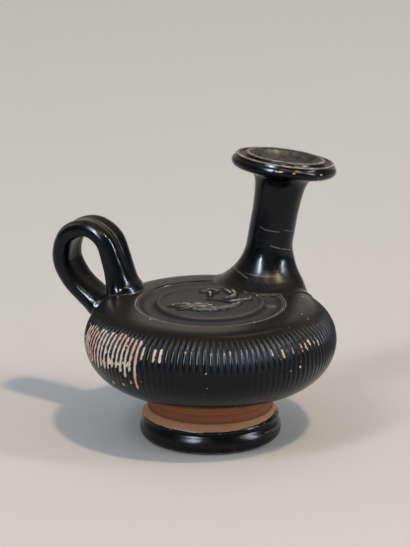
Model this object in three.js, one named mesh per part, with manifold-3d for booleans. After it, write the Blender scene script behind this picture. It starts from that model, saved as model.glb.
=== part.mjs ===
// A black-slipped guttus: a closed, ribbed oil flask on a ring foot. A relief medallion closes the top,
// a thrown neck with a dished mouth leans out from the shoulder, and a double-roll strap is bent into a ring handle.
// The pieces were made one by one and luted together with wet clay before the slip went on.
// Millimetres, +Z up. The origin lies on the ground under the middle of the whole vessel's box.

import * as THREE from 'three';
import { mergeVertices } from 'three/addons/utils/BufferGeometryUtils.js';
import Module from 'manifold-3d';

const wasm = await Module();
wasm.setup();

// Foot
const footHeight = 20.8;
const footRadius = 29.8;
const footBulgeHeight = 3.5;
const footBulgeDepth = 2.9;
const grooveHeight = 8.1;
const grooveRadius = 28.2;
const bandRadius = 28.75;
const bandTop = 10.3;
const bevelTop = 12.8;
const stemRadius = 25.1;
const stemFootRadius = 26.7;
const seatRadius = 27.2;
const standingInnerRadius = 22.6;
const recessTopRadius = 17.5;

// Body: a belly curve under the widest level and a shoulder curve above it, each a quarter ellipse
const bodyRadius = 53;
const baseRise = 2.1;
const bellyDepth = 19.5;
const bellyRun = 21.4;
const shoulderRise = 15.2;
const shoulderRun = 15.6;
const bodyWall = 4.4;
const floorThickness = 5.5;

// Ribs: hollows cut side by side round the body, deepest at the widest level
const ribCount = 120;
const ribDepth = 0.75;
const ribUpperAngle = 58;
const ribLowerAngle = 52;

// Opening on top and the medallion that closes it
const rimInset = 21.9;
const ledgeWidth = 3.0;
const ledgeThickness = 2.8;
const medallionThickness = 3.8;
const medallionGap = 0.4;
const rimStep = 0.7;
const bandDip = 1.3;
const frameInset = 9.0;
const frameRise = 0.9;
const frameWidth = 2.2;
const reliefInset = 1.5;
const fieldDip = 0.8;

// Neck and mouth
const neckInset = 14.7;
const neckAzimuth = 54;
const neckLean = 9.6;
const neckLeanAzimuth = 38;
const mouthShift = 2.2;
const boreRadius = 7.0;
const neckWall = 2.7;
const neckLength = 55.0;
const pierceRadius = 6.6;
const mouthRadius = 22.4;
const mouthThickness = 7.0;
const ringInset = 2.1;
const ringDrop = 0.9;
const lipRadius = 16.0;
const dishDepth = 7.0;
const dishRadius = 14.8;

// Skirt at the neck's root. It runs out to its radius on the flat shoulder, and stops short of the widest level.
const skirtRadius = 20.4;
const skirtHeight = 18.5;
const skirtEdge = 0.8;
const skirtBlend = 12;
const skirtCurl = 2.7;
const skirtEase = 6.5;
const rootDepth = 3;

// Handle
const handleAzimuth = 150.8;
const loopOverhang = 4.0;
const loopRise = 11.5;
const loopRadius = 12.9;
const innerRootInset = 12.2;
const outerRootInset = 4.0;
const outerRootDrop = 10.2;
const strapThickness = 8.9;
const strapWidth = 16.2;
const innerRootThickness = 13.0;
const outerRootThickness = 10.6;
const crownThickness = 7.5;
const rootWidth = 18.0;
const innerFaceShare = 0.64;
const creaseDepth = 1.0;
const rootCreaseDepth = 0.3;
const innerRootFlare = 2.4;
const outerRootFlare = 1.4;

// Clearance that the luted pieces keep from the surface they sit on
const luteGap = 0.3;

// Fineness of the facets
const plainColumns = 60;
const columnsPerRib = 2;
const footColumns = 48;
const neckColumns = 40;
const cutterColumns = 96;

// Levels that follow from the sizes above
const bellyBottom = footHeight + baseRise;
const widestHeight = bellyBottom + bellyDepth;
const shoulderHeight = widestHeight + shoulderRise;
const ledgeHeight = shoulderHeight - medallionThickness;
const openingRadius = bodyRadius - rimInset;
const medallionRadius = openingRadius - medallionGap;
const frameRadius = medallionRadius - frameInset;
const reliefRadius = frameRadius - reliefInset;
const neckRadius = boreRadius + neckWall;
const neckDistance = bodyRadius - neckInset;
const loopDistance = bodyRadius + loopOverhang;
const bandMiddle = (medallionRadius + frameRadius + frameWidth / 2) / 2;

// Colours: glossy black slip, and the bare orange clay of the foot
const slipColour = 0x16181a;
const topSlipColour = 0x2a2723;
const clayColour = 0xa9673f;

function polar(radius, azimuthDegrees, height = 0) {
  const angle = THREE.MathUtils.degToRad(azimuthDegrees);
  return new THREE.Vector3(radius * Math.cos(angle), radius * Math.sin(angle), height);
}

// Points [r, z] of an ellipse's arc between two angles, both ends included
function ellipseArc(centreR, centreZ, radiusR, radiusZ, fromDegrees, toDegrees, steps) {
  const points = [];
  for (let i = 0; i <= steps; i += 1) {
    const angle = THREE.MathUtils.degToRad(fromDegrees + ((toDegrees - fromDegrees) * i) / steps);
    points.push([centreR + radiusR * Math.cos(angle), centreZ + radiusZ * Math.sin(angle)]);
  }
  return points;
}

// A turned solid round the Z axis from a profile of [r, z] points, listed with the material on the left
function turned(profile, segments = plainColumns) {
  const geometry = new THREE.LatheGeometry(profile.map(([r, z]) => new THREE.Vector2(r, z)), segments);
  return geometry.rotateX(Math.PI / 2);
}

// A closed skin over rings of points. Neighbouring rings hold as many points as each other,
// one is a whole multiple of the other, or an end ring is a single point.
function skin(rings) {
  const positions = [];
  const starts = [];
  for (const ring of rings) {
    starts.push(positions.length / 3);
    for (const point of ring) positions.push(point.x, point.y, point.z);
  }
  const triangles = [];
  for (let i = 0; i + 1 < rings.length; i += 1) {
    const lower = rings[i].length;
    const upper = rings[i + 1].length;
    const fine = Math.max(lower, upper);
    const index = (ring, count, step) => starts[ring] + Math.floor((step * count) / fine) % count;
    for (let j = 0; j < fine; j += 1) {
      const a = index(i, lower, j);
      const b = index(i, lower, j + 1);
      const c = index(i + 1, upper, j);
      const d = index(i + 1, upper, j + 1);
      if (a !== b) triangles.push(a, b, d);
      if (c !== d) triangles.push(a, d, c);
    }
  }
  const geometry = new THREE.BufferGeometry();
  geometry.setAttribute('position', new THREE.Float32BufferAttribute(positions, 3));
  geometry.setIndex(triangles);
  return geometry;
}

function toSolid(geometry) {
  const bare = geometry.clone();
  bare.deleteAttribute('normal');
  bare.deleteAttribute('uv');
  const merged = mergeVertices(bare, 1e-5);
  return new wasm.Manifold(new wasm.Mesh({
    numProp: 3,
    vertProperties: new Float32Array(merged.attributes.position.array),
    triVerts: new Uint32Array(merged.index.array),
  }));
}

function toGeometry(solid) {
  const mesh = solid.getMesh();
  const geometry = new THREE.BufferGeometry();
  geometry.setAttribute('position', new THREE.BufferAttribute(mesh.vertProperties, 3));
  geometry.setIndex(new THREE.BufferAttribute(mesh.triVerts, 1));
  return geometry;
}

function piece(name, geometry, color, roughness) {
  geometry.computeVertexNormals();
  const mesh = new THREE.Mesh(geometry, new THREE.MeshStandardMaterial({ color, roughness, metalness: 0 }));
  mesh.name = name;
  return mesh;
}

// Foot: a thrown ring with a rounded torus, a groove, a plain band, a bare bevel and a hollow-sided stem
function footGeometry() {
  const bulgeCentre = footRadius - footBulgeDepth;
  return turned([
    [standingInnerRadius, 0],
    [bulgeCentre, 0],
    ...ellipseArc(bulgeCentre, footBulgeHeight, footBulgeDepth, footBulgeHeight, -60, 0, 3),
    ...ellipseArc(bulgeCentre, footBulgeHeight, footBulgeDepth, grooveHeight - footBulgeHeight, 22, 66, 2),
    [grooveRadius, grooveHeight],
    [bandRadius, grooveHeight + 0.7],
    [bandRadius, bandTop],
    [stemFootRadius, bevelTop],
    [stemRadius, bevelTop + 2.2],
    [stemRadius + 0.1, footHeight - 3.6],
    [seatRadius - 0.7, footHeight - 1],
    [seatRadius, footHeight],
    [recessTopRadius, footHeight],
    [recessTopRadius + 2.6, footHeight / 4],
    [standingInnerRadius - 1.2, 1.6],
    [standingInnerRadius, 0],
  ], footColumns);
}

// Height of the body's outer skin and its radius along the belly (negative angles) and the shoulder
function bodyPoint(angleDegrees, inset = 0) {
  const angle = THREE.MathUtils.degToRad(angleDegrees);
  const run = angleDegrees < 0 ? bellyRun : shoulderRun;
  const rise = angleDegrees < 0 ? bellyDepth : shoulderRise;
  return [
    bodyRadius - run + (run - inset) * Math.cos(angle),
    widestHeight + (rise - inset) * Math.sin(angle),
  ];
}

function circle(r, z, count) {
  const ring = [];
  for (let j = 0; j < count; j += 1) ring.push(polar(r, (360 * j) / count, z));
  return ring;
}

// One ring of the ribbed band: crests stay on the body's curve, hollows lie below it
function ribbedRing(angleDegrees) {
  const limit = angleDegrees < 0 ? ribLowerAngle : ribUpperAngle;
  const depth = ribDepth * Math.max(0, 1 - (angleDegrees / limit) ** 2) ** 0.5;
  const crest = bodyPoint(angleDegrees);
  const hollow = bodyPoint(angleDegrees, depth);
  const count = ribCount * columnsPerRib;
  const ring = [];
  for (let j = 0; j < count; j += 1) {
    const [r, z] = j % columnsPerRib === 0 ? crest : hollow;
    ring.push(polar(r, (360 * j) / count, z));
  }
  return ring;
}

// Body: a thrown closed chamber with a ribbed outside, open on top for the medallion and pierced under the neck
function bodyGeometry() {
  const ribbedAngles = [-ribLowerAngle, -38, -24, -10, 4, 18, 32, 46, ribUpperAngle];
  const belly = [-90, -71].map((angle) => bodyPoint(angle));
  const shoulder = [74, 90].map((angle) => bodyPoint(angle));
  const inside = [];
  for (let angle = 90; angle >= -90; angle -= 180 / 8) inside.push(bodyPoint(angle, bodyWall));
  const ledgeInnerRadius = openingRadius - ledgeWidth;
  const rings = [
    [new THREE.Vector3(0, 0, footHeight)],
    circle(seatRadius + 0.8, footHeight, plainColumns),
    ...belly.map(([r, z]) => circle(r, z, plainColumns)),
    ...ribbedAngles.map((angle) => ribbedRing(angle)),
    ...shoulder.map(([r, z]) => circle(r, z, plainColumns)),
    circle(openingRadius + 0.6, shoulderHeight, plainColumns),
    circle(openingRadius, shoulderHeight - 0.5, plainColumns),
    circle(openingRadius, ledgeHeight, plainColumns),
    circle(ledgeInnerRadius, ledgeHeight, plainColumns),
    circle(ledgeInnerRadius, ledgeHeight - ledgeThickness, plainColumns),
    circle(openingRadius + 1, ledgeHeight - ledgeThickness, plainColumns),
    ...inside.map(([r, z]) => circle(r, z, plainColumns)),
    [new THREE.Vector3(0, 0, footHeight + floorThickness)],
  ];
  return toGeometry(toSolid(skin(rings)).subtract(toSolid(pierceGeometry())));
}

// Everything that the neck and the handle sit on: the body and the medallion's rim, swollen by the luting gap
function seatEnvelope() {
  const profile = [[0, footHeight], [seatRadius, footHeight]];
  for (let angle = -90; angle <= 90; angle += 12) profile.push(bodyPoint(angle, -luteGap));
  profile.push([openingRadius, shoulderHeight + luteGap]);
  profile.push([medallionRadius - 1, shoulderHeight + luteGap - rimStep]);
  profile.push([bandMiddle, shoulderHeight + luteGap - bandDip]);
  profile.push([frameRadius + frameWidth / 2, shoulderHeight + luteGap]);
  profile.push([frameRadius, shoulderHeight + frameRise + luteGap]);
  profile.push([0, shoulderHeight + frameRise + luteGap]);
  return toSolid(turned(profile, cutterColumns));
}

// Places a point of the neck, given round the neck's own axis at a height above the shoulder. The tube leans and
// bends a little, and a share under 1 leans the point's ring only part of the way.
function placeNeck(point, share = 1) {
  const lean = THREE.MathUtils.degToRad(neckLean);
  const hinge = polar(1, neckLeanAzimuth + 90);
  const climb = new THREE.Vector3(0, 0, 1).applyAxisAngle(hinge, point.z > 0 ? lean : 0);
  const bend = mouthShift * Math.max(0, point.z / neckLength) ** 1.5;
  return new THREE.Vector3(point.x + bend, point.y, 0)
    .applyAxisAngle(hinge, lean * share)
    .addScaledVector(climb, point.z)
    .add(polar(neckDistance, neckAzimuth, shoulderHeight));
}

// Rings of the neck from a profile of [r, height] points
function neckRings(profile, count) {
  return profile.map(([r, height]) => circle(r, height, count).map((point) => placeNeck(point)));
}

// Hole pierced through the shoulder under the neck
function pierceGeometry() {
  const reach = bodyWall * 3;
  const count = 24;
  const [low, high] = neckRings([[pierceRadius, -reach], [pierceRadius, reach]], count);
  const poles = [-reach, reach].map((height) => placeNeck(new THREE.Vector3(0, 0, height)));
  return skin([[poles[0]], low, high, [poles[1]]]);
}

// Where the skirt meets the body in a direction: its reach from the neck's middle, and its drop below the shoulder
function skirtRoot(azimuthDegrees) {
  const turn = THREE.MathUtils.degToRad(azimuthDegrees - neckAzimuth);
  const chord = Math.sqrt((bodyRadius - skirtEdge) ** 2 - (neckDistance * Math.sin(turn)) ** 2);
  const wallReach = chord - neckDistance * Math.cos(turn);
  const reach = (wallReach ** -skirtBlend + skirtRadius ** -skirtBlend) ** (-1 / skirtBlend);
  const radial = Math.hypot(neckDistance + reach * Math.cos(turn), reach * Math.sin(turn));
  const out = Math.max(0, radial - (bodyRadius - shoulderRun)) / shoulderRun;
  return { reach, drop: shoulderRise * (1 - Math.sqrt(1 - out ** 2)) };
}

// One ring of the skirt, from its root on the body (share 0) up to the straight tube (share 1)
function skirtRing(share, sink = 0) {
  const ring = [];
  for (let j = 0; j < neckColumns; j += 1) {
    const azimuth = (360 * j) / neckColumns;
    const { reach, drop } = skirtRoot(azimuth);
    const curl = skirtCurl / (1 + drop / skirtEase);
    const radius = neckRadius + (reach - neckRadius) * (1 - share) ** curl;
    ring.push(placeNeck(polar(radius, azimuth, share * skirtHeight - (1 - share) * drop - sink), share));
  }
  return ring;
}

// Neck: leaning tube with a skirt fitted to the shoulder, and a stepped mouth with a dish
function neckGeometry() {
  const depth = shoulderRise - rootDepth;
  const mouthBase = neckLength - mouthThickness;
  const shares = [0, 0.07, 0.17, 0.3, 0.46, 0.68, 1];
  const upper = neckRings([
    [neckRadius, mouthBase - 20],
    [neckRadius + 0.5, mouthBase - 9.5],
    [neckRadius + 1.4, mouthBase - 4.6],
    [neckRadius + 2.9, mouthBase - 2.1],
    [neckRadius + 5.8, mouthBase - 0.7],
    [mouthRadius - 3.4, mouthBase],
    [mouthRadius - 0.7, mouthBase + 0.8],
    [mouthRadius, mouthBase + 2.6],
    [mouthRadius - 0.2, mouthBase + 4.2],
    [mouthRadius - ringInset + 0.3, neckLength - ringDrop],
    [mouthRadius - ringInset - 1.2, neckLength - ringDrop - 0.6],
    [lipRadius + 1.6, neckLength - 1.2],
    [lipRadius + 0.8, neckLength - 0.2],
    [lipRadius - 0.3, neckLength],
    [dishRadius, neckLength - 0.9],
    [dishRadius - 2.6, neckLength - dishDepth * 0.55],
    [boreRadius + 1.6, neckLength - dishDepth * 0.9],
    [boreRadius, neckLength - dishDepth - 2],
  ], neckColumns);
  const bore = neckRings([[boreRadius, 0], [boreRadius, -depth]], neckColumns);
  const skirt = shares.map((share) => skirtRing(share));
  const neck = toSolid(skin([bore[1], skirtRing(0, rootDepth), ...skirt, ...upper, ...bore]));
  return toGeometry(neck.subtract(seatEnvelope()));
}

// Raised lines and mounds of the worn relief: a reclining winged figure, in plan millimetres,
// as [x, y, half width, height] along each line, drawn for a field of this radius
const drawnRadius = 20.2;
const reliefStrokes = [
  [[-17, -5, 1.3, 0.5], [-12.5, -4.2, 2.6, 0.9], [-8.6, -4.8, 1.6, 0.8]],
  [[-14.5, -9, 1.0, 0.6], [-8.6, -5, 1.4, 0.9], [-5.7, -7.4, 1.6, 1.1]],
  [[-6.5, -9, 2.4, 1.1], [0, -9.2, 2.7, 1.4], [3.5, -9.4, 2.0, 1.1]],
  [[2, -9.5, 1.6, 1.1], [6.1, -10.2, 1.5, 1.1], [10.3, -4.8, 1.4, 1.1], [12.4, -0.7, 1.2, 0.9]],
  [[9.9, 0.7, 1.2, 0.9], [16.6, 4.8, 1.0, 0.7]],
  [[-3.2, 16.3, 1.2, 0.8], [-0.6, 14.3, 1.3, 1.0], [0, 7.5, 1.3, 1.0]],
  [[1.9, 17, 1.1, 0.8], [4, 12, 1.1, 0.7]],
  [[6.1, 17, 1.1, 0.9], [7.4, 12.9, 1.4, 1.0]],
  [[9, 15.6, 1.2, 0.9], [9.5, 8.8, 1.4, 1.1], [6.5, 4.8, 1.5, 1.1]],
  [[12.4, 15.5, 1.1, 0.8], [15.8, 11.5, 1.0, 0.7]],
];

// Height of the relief over the medallion's field
function reliefHeight(fieldX, fieldY) {
  const x = (fieldX * drawnRadius) / reliefRadius;
  const y = (fieldY * drawnRadius) / reliefRadius;
  let height = 0;
  for (const stroke of reliefStrokes) {
    for (let i = 0; i + 1 < stroke.length; i += 1) {
      const [ax, ay, aWidth, aHeight] = stroke[i];
      const [bx, by, bWidth, bHeight] = stroke[i + 1];
      const along = ((x - ax) * (bx - ax) + (y - ay) * (by - ay)) / ((bx - ax) ** 2 + (by - ay) ** 2);
      const t = THREE.MathUtils.clamp(along, 0, 1);
      const distance = Math.hypot(x - ax - (bx - ax) * t, y - ay - (by - ay) * t);
      const width = 1.6 * THREE.MathUtils.lerp(aWidth, bWidth, t);
      const crest = THREE.MathUtils.lerp(aHeight, bHeight, t);
      if (distance < width) height = Math.max(height, crest * Math.cos((Math.PI / 2) * (distance / width)));
    }
  }
  return height;
}

// Medallion: a moulded disc on the ledge, with a hollow band, a raised frame and a relief field
function medallionGeometry() {
  const field = shoulderHeight + frameRise - fieldDip;
  const frameInner = frameRadius - frameWidth / 2;
  const rings = [
    [new THREE.Vector3(0, 0, ledgeHeight)],
    circle(medallionRadius, ledgeHeight, plainColumns),
    circle(medallionRadius, shoulderHeight - rimStep - 0.3, plainColumns),
    circle(medallionRadius - 0.5, shoulderHeight - rimStep, plainColumns),
    circle(bandMiddle, shoulderHeight - bandDip, plainColumns),
    circle(frameRadius + frameWidth / 2, shoulderHeight, plainColumns),
    circle(frameRadius, shoulderHeight + frameRise, plainColumns),
    circle(frameInner, field, plainColumns),
  ];
  const fieldRings = 10;
  for (let i = fieldRings; i > 0; i -= 1) {
    const ring = circle((reliefRadius * i) / fieldRings, field, plainColumns);
    rings.push(ring.map((point) => point.setZ(field + reliefHeight(point.x, point.y))));
  }
  rings.push([new THREE.Vector3(0, 0, field + reliefHeight(0, 0))]);
  return skin(rings);
}

// Section of the strap: two rolls side by side, round outside the ring and pressed flatter inside it,
// with a crease between them on both faces
function strapSection(width, thickness, crease) {
  const steps = 8;
  const turn = 116;
  const flatness = 0.7;
  const section = [];
  for (const side of [1, -1]) {
    for (let j = 0; j <= steps; j += 1) {
      const angle = THREE.MathUtils.degToRad(turn * ((2 * j) / steps - 1));
      const across = (side * width * (1 + Math.cos(angle))) / 4;
      const lift = side * Math.sin(angle);
      const face = lift < 0 ? -innerFaceShare * Math.abs(lift) ** flatness : lift;
      section.push([across, (thickness * face) / 2]);
    }
    const share = side > 0 ? 1 : innerFaceShare;
    section.push([0, side * share * (thickness / 2 - crease)]);
  }
  return section;
}

// Handle: the double-roll strap bent into a ring, in the upright plane through the vessel's axis
function handleGeometry() {
  const loopHeight = shoulderHeight + loopRise;
  const innerRootDistance = bodyRadius - innerRootInset;
  const outerRootDistance = bodyRadius - outerRootInset;
  const onLoop = (degrees, stretch = 1) => {
    const angle = THREE.MathUtils.degToRad(degrees);
    const radius = loopRadius * stretch;
    return new THREE.Vector3(loopDistance + radius * Math.cos(angle), 0, loopHeight + radius * Math.sin(angle));
  };
  const path = new THREE.CatmullRomCurve3([
    new THREE.Vector3(innerRootDistance - 1, 0, shoulderHeight - 4),
    new THREE.Vector3(innerRootDistance + 1.8, 0, shoulderHeight + 2.5),
    onLoop(176, 0.89),
    onLoop(128, 0.955),
    onLoop(90, 1.05),
    onLoop(46, 1.06),
    onLoop(-4, 0.98),
    onLoop(-50, 0.98),
    new THREE.Vector3(outerRootDistance + 6, 0, shoulderHeight - outerRootDrop + 4),
    new THREE.Vector3(outerRootDistance, 0, shoulderHeight - outerRootDrop),
  ]);
  const steps = 29;
  const crownShare = 0.4;
  const crownReach = 0.22;
  const innerSeatShare = 0.075;
  const outerSeatShare = 0.93;
  const flareReach = 0.075;
  const across = new THREE.Vector3(0, 1, 0);
  const rings = [];
  for (let i = 0; i <= steps; i += 1) {
    const t = i / steps - 0.1 * Math.sin((2 * Math.PI * i) / steps);
    const inner = t < 0.5;
    const centre = path.getPoint(t);
    const out = new THREE.Vector3().crossVectors(path.getTangent(t), across).normalize();
    const spread = Math.abs(2 * t - 1) ** (inner ? 2.4 : 4);
    const fromSeat = THREE.MathUtils.clamp((inner ? t - innerSeatShare : outerSeatShare - t) / flareReach, 0, 1);
    const flare = 2 * (inner ? innerRootFlare : outerRootFlare) * (1 - fromSeat) ** 2;
    const crown = Math.max(0, 1 - Math.abs(t - crownShare) / crownReach);
    const plain = THREE.MathUtils.lerp(strapThickness, crownThickness, crown);
    const width = THREE.MathUtils.lerp(strapWidth, rootWidth, spread) + flare;
    const thickness = THREE.MathUtils.lerp(plain, inner ? innerRootThickness : outerRootThickness, spread) + flare;
    const crease = THREE.MathUtils.lerp(creaseDepth, rootCreaseDepth, Math.min(1, 1.6 * spread));
    rings.push(strapSection(width, thickness, crease).map(([u, v]) => centre.clone()
      .addScaledVector(across, u)
      .addScaledVector(out, v)));
  }
  rings.unshift([path.getPoint(0)]);
  rings.push([path.getPoint(1)]);
  const strap = skin(rings).rotateZ(THREE.MathUtils.degToRad(handleAzimuth));
  return toGeometry(toSolid(strap).subtract(seatEnvelope()));
}

const guttus = new THREE.Group();
guttus.add(piece('foot', footGeometry(), clayColour, 0.55));
guttus.add(piece('body', bodyGeometry(), slipColour, 0.3));
guttus.add(piece('medallion', medallionGeometry(), topSlipColour, 0.45));
guttus.add(piece('neck', neckGeometry(), slipColour, 0.3));
guttus.add(piece('handle', handleGeometry(), slipColour, 0.3));

// Centre the whole vessel's box over the origin
const middle = new THREE.Box3().setFromObject(guttus).getCenter(new THREE.Vector3());
guttus.position.set(-middle.x, -middle.y, 0);

export default guttus;
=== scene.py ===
import math

import bpy
import numpy as np
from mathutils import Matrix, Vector


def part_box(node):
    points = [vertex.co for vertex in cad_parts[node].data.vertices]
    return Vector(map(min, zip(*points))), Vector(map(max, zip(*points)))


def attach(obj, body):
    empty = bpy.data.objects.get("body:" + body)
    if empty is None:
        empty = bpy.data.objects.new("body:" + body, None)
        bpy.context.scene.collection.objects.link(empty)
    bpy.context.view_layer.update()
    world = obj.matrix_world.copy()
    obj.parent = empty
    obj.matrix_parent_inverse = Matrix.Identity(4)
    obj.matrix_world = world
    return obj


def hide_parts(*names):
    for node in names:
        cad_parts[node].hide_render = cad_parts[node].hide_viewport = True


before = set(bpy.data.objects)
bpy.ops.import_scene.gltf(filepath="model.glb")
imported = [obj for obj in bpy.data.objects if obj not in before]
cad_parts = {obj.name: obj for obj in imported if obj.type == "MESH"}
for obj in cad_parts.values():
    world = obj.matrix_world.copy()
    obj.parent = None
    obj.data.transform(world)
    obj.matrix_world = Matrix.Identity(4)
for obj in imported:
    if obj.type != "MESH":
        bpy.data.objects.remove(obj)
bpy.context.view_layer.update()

# Foot
# A thrown ring of clay luted under the body: a rounded torus, a groove and a plain band, coated with black slip.
# The slip missed the bevel and the hollow-sided stem above it, so their fired clay is bare. It is hollow underneath.
MM = 0.001
foot_low, foot_high = (Vector(corner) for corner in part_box("foot"))
axis_place = ((foot_low + foot_high) / 2).xy / MM


def arc(centre, radii, start, end, steps):
    """Points (r, z) of an ellipse's arc, from one angle in degrees to another"""
    angles = np.radians(np.linspace(start, end, steps + 1))
    return [(centre[0] + radii[0] * math.cos(a), centre[1] + radii[1] * math.sin(a)) for a in angles]


def throw(name, profile, columns):
    """Throws a piece on the wheel: a ring of clay is pulled along a closed profile of radii and heights.
    The stroke attribute tells how far along the profile, in millimetres, the potter's fingers had come."""
    bpy.ops.object.select_all(action='DESELECT')
    radius, height = max(profile[0][0], 0.01), profile[0][1]
    bpy.ops.mesh.primitive_circle_add(vertices=columns, radius=radius, fill_type='NOTHING', location=(0, 0, 0))
    piece = bpy.context.object
    piece.name = piece.data.name = name
    bpy.ops.object.mode_set(mode='EDIT')
    bpy.ops.mesh.select_all(action='SELECT')
    bpy.ops.transform.translate(value=(0, 0, height))
    for next_radius, next_height in profile[1:]:
        width = max(next_radius, 0.01)
        bpy.ops.mesh.extrude_edges_move()
        bpy.ops.transform.translate(value=(0, 0, next_height - height))
        bpy.ops.transform.resize(value=(width / radius, width / radius, 1), center_override=(0, 0, 0))
        radius, height = width, next_height
    bpy.ops.object.mode_set(mode='OBJECT')
    steps = np.hypot(*np.diff(np.array(profile), axis=0).T)
    keep_value(piece, "stroke", np.repeat(np.concatenate([[0], np.cumsum(steps)]), columns))
    bpy.ops.object.mode_set(mode='EDIT')
    bpy.ops.mesh.select_all(action='SELECT')
    bpy.ops.mesh.remove_doubles(threshold=0.03)
    bpy.ops.mesh.normals_make_consistent(inside=False)
    bpy.ops.object.mode_set(mode='OBJECT')
    return piece


def keep_value(piece, name, values):
    """Keeps one number for each point of the piece, for its material to read"""
    kept = piece.data.attributes.get(name) or piece.data.attributes.new(name, 'FLOAT', 'POINT')
    kept.data.foreach_set("value", np.ascontiguousarray(values, dtype=np.float32))


def points_of(piece):
    """The piece's points, as rows of x, y and z"""
    points = np.empty(len(piece.data.vertices) * 3)
    piece.data.vertices.foreach_get("co", points)
    return points.reshape(-1, 3)


def move_points(piece, points):
    piece.data.vertices.foreach_set("co", points.ravel())
    piece.data.update()


def smooth_steps(piece, levels):
    """Rounds the piece off between its points, as the wet hand does"""
    rounding = piece.modifiers.new("rounded by the wet hand", 'SUBSURF')
    rounding.levels = rounding.render_levels = levels
    bpy.context.view_layer.objects.active = piece
    bpy.ops.object.modifier_apply(modifier=rounding.name)


def ramp(values, start, end):
    """0 up to the start, 1 from the end on, and an even rise between them"""
    return np.clip((values - start) / (end - start), 0, 1)


def near(values, place, core, reach):
    """1 up to the core's distance from a place, and 0 from the reach on"""
    return 1 - ramp(np.abs(values - place), core, reach)


def near_line(across, along, line, half_width):
    """1 on a line drawn over a surface and 0 from its half width on. All lengths are in millimetres."""
    nearest = np.full(len(across), np.inf)
    for (ax, ay), (bx, by) in zip(line, line[1:]):
        share = ((across - ax) * (bx - ax) + (along - ay) * (by - ay)) / ((bx - ax) ** 2 + (by - ay) ** 2)
        share = np.clip(share, 0, 1)
        nearest = np.minimum(nearest, np.hypot(across - ax - (bx - ax) * share, along - ay - (by - ay) * share))
    return 1 - ramp(nearest, 0, half_width)


def settle(piece, node):
    """Brings a finished piece to metres and to its place, and says which solid it stands for"""
    points = points_of(piece)
    points[:, :2] += axis_place
    move_points(piece, points * MM)
    for face in piece.data.polygons:
        face.use_smooth = True
    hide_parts(node)
    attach(piece, "root")


def colour(code):
    """An sRGB hex colour as linear red, green, blue and alpha"""
    parts = [int(code[i:i + 2], 16) / 255 for i in (0, 2, 4)]
    return [c / 12.92 if c <= 0.04045 else ((c + 0.055) / 1.055) ** 2.4 for c in parts] + [1]


def add_node(tree, kind, settings=None, links=None):
    """Adds a node, sets its properties and its inputs, and links other nodes' outputs into it"""
    node = tree.nodes.new(kind)
    for key, value in (settings or {}).items():
        if isinstance(key, str) and hasattr(node, key):
            setattr(node, key, value)
    for key, value in (settings or {}).items():
        if not (isinstance(key, str) and hasattr(node, key)):
            node.inputs[key].default_value = value
    for key, output in (links or {}).items():
        tree.links.new(output, node.inputs[key])
    return node.outputs[2] if kind == 'ShaderNodeMix' else node.outputs[0]


FOOT_EDGE = 29.8
BAND_TOP = 10.4
foot_profile = [
    (22.6, 0.0), (23.2, 0.0), (25.6, 0.0), (26.6, 0.12),
    *arc((26.9, 3.5), (FOOT_EDGE - 26.9, 3.4), -66, 0, 5),
    *arc((26.9, 3.5), (FOOT_EDGE - 26.9, 4.6), 14, 60, 4),
    (28.15, 7.9), (28.05, 8.15), (28.25, 8.5), (28.7, 8.8), (28.8, 9.2), (28.8, 9.9), (28.65, 10.3), (28.35, 10.5),
    (27.4, 11.6), (26.8, 12.4), (26.5, 12.8), (25.9, 13.1), (25.5, 13.5), (25.2, 14.6), (25.0, 16.4), (25.2, 17.8),
    (25.9, 19.0), (26.8, 20.1), (27.2, 20.8), (26.4, 20.8),
    (18.4, 20.8), (17.5, 20.8), (17.9, 18.0), (20.1, 5.2), (21.2, 1.8), (21.9, 0.5), (22.6, 0.0),
]
foot = throw("foot_ring", foot_profile, 128)
smooth_steps(foot, 1)
points = points_of(foot)
radial = np.hypot(points[:, 0], points[:, 1])
azimuth = np.degrees(np.arctan2(points[:, 1], points[:, 0])) % 360
outside = radial > 22.8
# The slip is rubbed off along the standing edge, on the band's edge at the left and in one long scratch
bottom_edge = outside * near(points[:, 2], 0.7, 0.3, 1.5)
band_edge = outside * near(points[:, 2], BAND_TOP, 0.1, 0.55) * ramp(azimuth, 216, 228) * (1 - ramp(azimuth, 262, 276))
scratch = near_line(np.radians(azimuth) * FOOT_EDGE, points[:, 2], [(167.3, 6.4), (175.0, 6.0), (183.5, 5.2)], 0.35)
slip_height = 10.3 + 1.2 * ramp(azimuth, 285, 350) - 0.6 * ramp(azimuth, 200, 185)
slip_edge = outside * near(points[:, 2], slip_height - 0.7, 0.1, 0.5) * ramp(azimuth, 205, 225)
keep_value(foot, "rubbed", np.maximum.reduce([0.56 * bottom_edge, 0.7 * band_edge, 0.5 * slip_edge]))
keep_value(foot, "scuffed", 0.6 * outside * scratch)
keep_value(foot, "bare", ramp(points[:, 2] - slip_height, -0.5, 0.5) * (radial > 22.0))
keep_value(foot, "stem", ramp(points[:, 2], 12.6, 13.2))

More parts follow.
